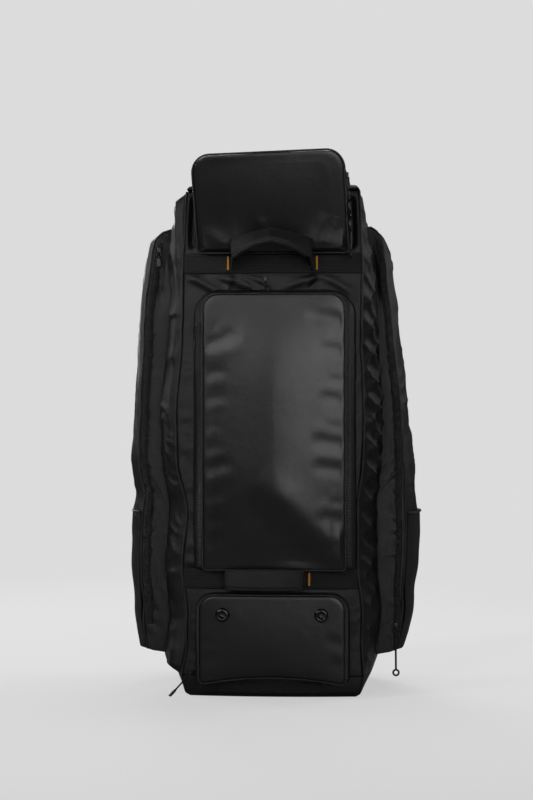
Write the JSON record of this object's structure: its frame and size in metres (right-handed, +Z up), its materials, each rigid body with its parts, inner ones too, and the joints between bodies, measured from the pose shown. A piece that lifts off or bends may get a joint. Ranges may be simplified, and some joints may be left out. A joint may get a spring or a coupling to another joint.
{
  "type": "cricket kit bag",
  "caption": "Tall standing cricket kit bag with a hooded helmet pocket, long centre pocket, shoe pocket, side bat sleeves with net pockets, grab handles and shoulder straps.",
  "frame": {"origin": "on the floor, under the middle of the base", "axes": "+Z up, the front with its pockets and handles faces -Y, +X to the right as seen from the front"},
  "size_m": [0.589, 0.4561, 1.067],
  "materials": {
    "nylon": "matt woven nylon",
    "coated": "satin coated fabric, fine grain",
    "moulded": "satin",
    "webbing": "ribbed polyester webbing",
    "trim": "satin bound piping",
    "zip": "coil zip and its tape",
    "netting": "open mesh",
    "bright": "yellow woven tab",
    "metal": "dark nickel"
  },
  "bodies": {
    "root": {"body_front": "nylon", "body_right": "nylon", "body_back": "nylon", "body_left": "nylon", "body_top": "nylon", "base_tray": "moulded", "piping_front_left": "trim", "piping_front_right": "trim", "piping_back_right": "trim", "piping_back_left": "trim", "helmet_panel": "coated", "helmet_band": "nylon", "helmet_piping": "trim", "helmet_zip": "zip", "centre_panel": "coated", "centre_band": "nylon", "centre_piping": "trim", "centre_zip": "zip", "shoe_panel": "coated", "shoe_band": "nylon", "shoe_piping": "trim", "shoe_zip": "zip", "eyelet_left": "metal", "eyelet_right": "metal", "upper_webbing": "webbing", "upper_handle": "webbing", "lower_webbing": "webbing", "lower_handle": "webbing", "tab_upper_left": "bright", "tab_upper_right": "bright", "tab_lower_right": "bright", "base_strap": "webbing", "sleeve_front_left": "nylon", "sleeve_outside_left": "nylon", "sleeve_piping_left": "trim", "sleeve_zip_left": "zip", "sleeve_net_left": "netting", "sleeve_hem_left": "trim", "sleeve_front_right": "nylon", "sleeve_outside_right": "nylon", "sleeve_piping_right": "trim", "sleeve_zip_right": "zip", "sleeve_net_right": "netting", "sleeve_hem_right": "trim", "shoulder_strap_left": "nylon", "strap_tail_left": "webbing", "shoulder_strap_right": "nylon", "strap_tail_right": "webbing", "pull_helmet_top": "metal", "pull_helmet_side": "metal", "pull_helmet_foot": "metal", "pull_yoke": "metal", "pull_centre_side": "metal", "pull_centre_top": "metal", "pull_shoe_side": "metal", "pull_sleeve_left": "metal", "pull_sleeve_right": "metal"}
  },
  "joints": []
}
